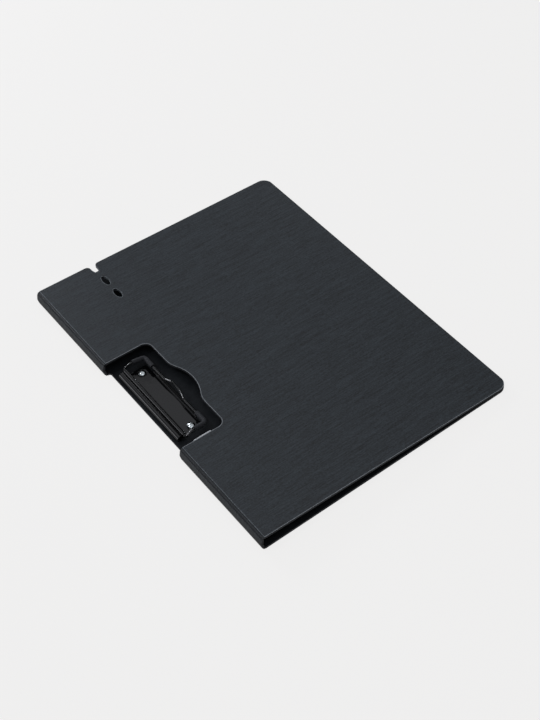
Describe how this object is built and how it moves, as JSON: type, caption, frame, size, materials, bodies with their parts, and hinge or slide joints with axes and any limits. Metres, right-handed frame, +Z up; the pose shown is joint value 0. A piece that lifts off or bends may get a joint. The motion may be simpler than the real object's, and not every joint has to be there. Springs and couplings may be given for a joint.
{
  "type": "folding clipboard",
  "caption": "Folding clipboard of creased plastic sheet, with a cut-out front cover, pen slots and a low wire clip with a thumb loop and rubber corner sleeves.",
  "frame": {"origin": "middle of the folded clipboard's box, on the surface that it lies on", "axes": "+X from the spine to the open edge, +Y along the spine, +Z up out of the front cover; drawn folded shut"},
  "size_m": [0.2384, 0.315, 0.0144],
  "materials": {
    "cover_sheet": "charcoal foamed polypropylene sheet with fine brushed streaks across the covers",
    "clip_steel": "pressed sheet steel, stoved satin black",
    "wire_steel": "spring steel wire, stoved gloss black",
    "sleeve_rubber": "smooth black rubber tube",
    "rivet_steel": "bright nickel-plated rivets"
  },
  "bodies": {
    "back": {"back_cover": "cover_sheet", "back_crease_far": "cover_sheet", "back_crease_near": "cover_sheet", "clip_plate": "clip_steel", "rivets": "rivet_steel"},
    "foot": {"spine_foot_far": "cover_sheet", "spine_foot_near": "cover_sheet", "ridge_crease_far": "cover_sheet", "ridge_crease_near": "cover_sheet"},
    "spine": {"spine_panel_far": "cover_sheet", "spine_panel_near": "cover_sheet", "front_crease_far": "cover_sheet", "front_crease_near": "cover_sheet"},
    "cover": {"front_cover": "cover_sheet"},
    "bail": {"bail_wire": "wire_steel", "corner_sleeve_far": "sleeve_rubber", "corner_sleeve_near": "sleeve_rubber"}
  },
  "joints": [
    {"name": "spine_hinge", "type": "hinge", "parent": "back", "child": "foot", "pos_m": [-0.11712, 0, 0.001], "axis": [0, -1, 0], "range_deg": [0, 158]},
    {"name": "ridge_hinge", "type": "hinge", "parent": "foot", "child": "spine", "pos_m": [-0.11832, 0, 0.0072], "axis": [0, -1, 0], "range_deg": [0, 44]},
    {"name": "cover_hinge", "type": "hinge", "parent": "spine", "child": "cover", "pos_m": [-0.11712, 0, 0.0134], "axis": [0, -1, 0], "range_deg": [0, 162]},
    {"name": "bail_hinge", "type": "hinge", "parent": "back", "child": "bail", "pos_m": [-0.10512, 0.0018, 0.007], "axis": [0, -1, 0], "range_deg": [0, 45], "stiffness_Nm_per_rad": 0.2, "springref_deg": -28.65}
  ]
}
